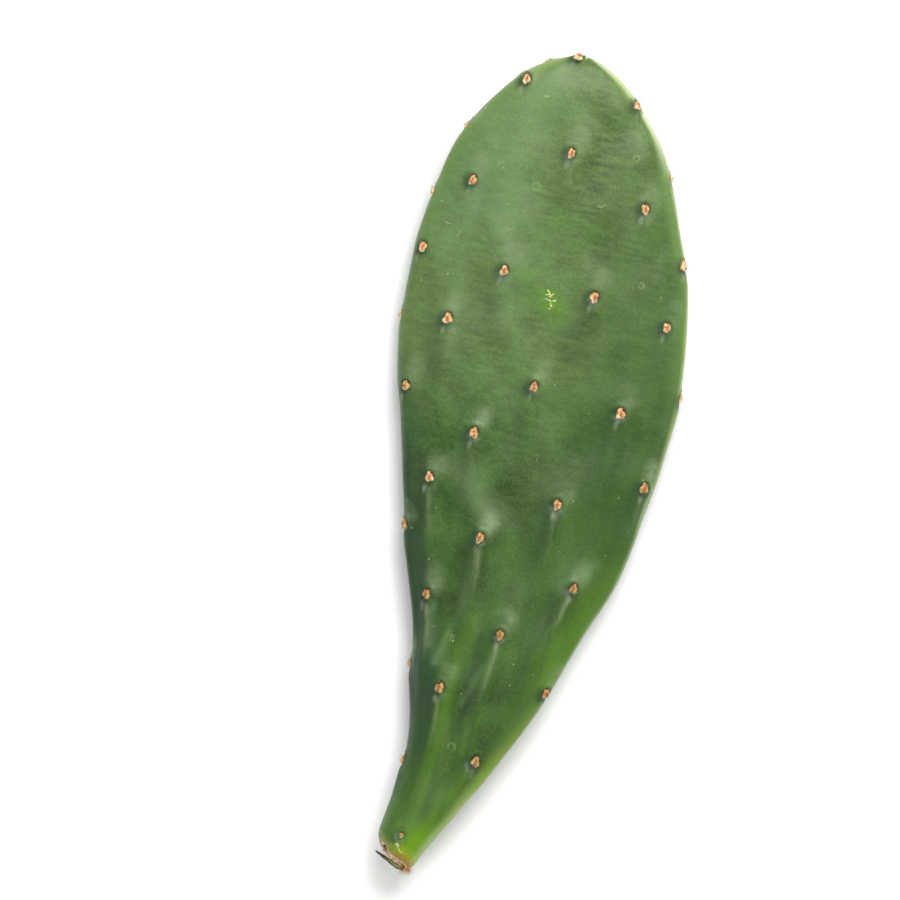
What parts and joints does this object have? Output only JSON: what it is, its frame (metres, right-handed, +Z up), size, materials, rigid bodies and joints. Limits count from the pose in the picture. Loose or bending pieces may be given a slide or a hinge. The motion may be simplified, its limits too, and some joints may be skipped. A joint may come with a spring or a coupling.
{
  "type": "prickly pear cactus pad",
  "caption": "Flattened, fleshy cactus stem joint, narrow at its cut neck and rounded at its tip, dotted with small felted areoles.",
  "frame": {"origin": "under the middle of the pad's bounding box, on the surface it lies on", "axes": "+Y from the cut neck to the tip, +X across the pad, +Z up out of the face that shows"},
  "size_m": [0.0924, 0.2606, 0.0223],
  "materials": {
    "cactus_skin": "satin, waxy green skin with tan felted areoles"
  },
  "bodies": {
    "root": {"cactus_pad": "cactus_skin"}
  },
  "joints": []
}
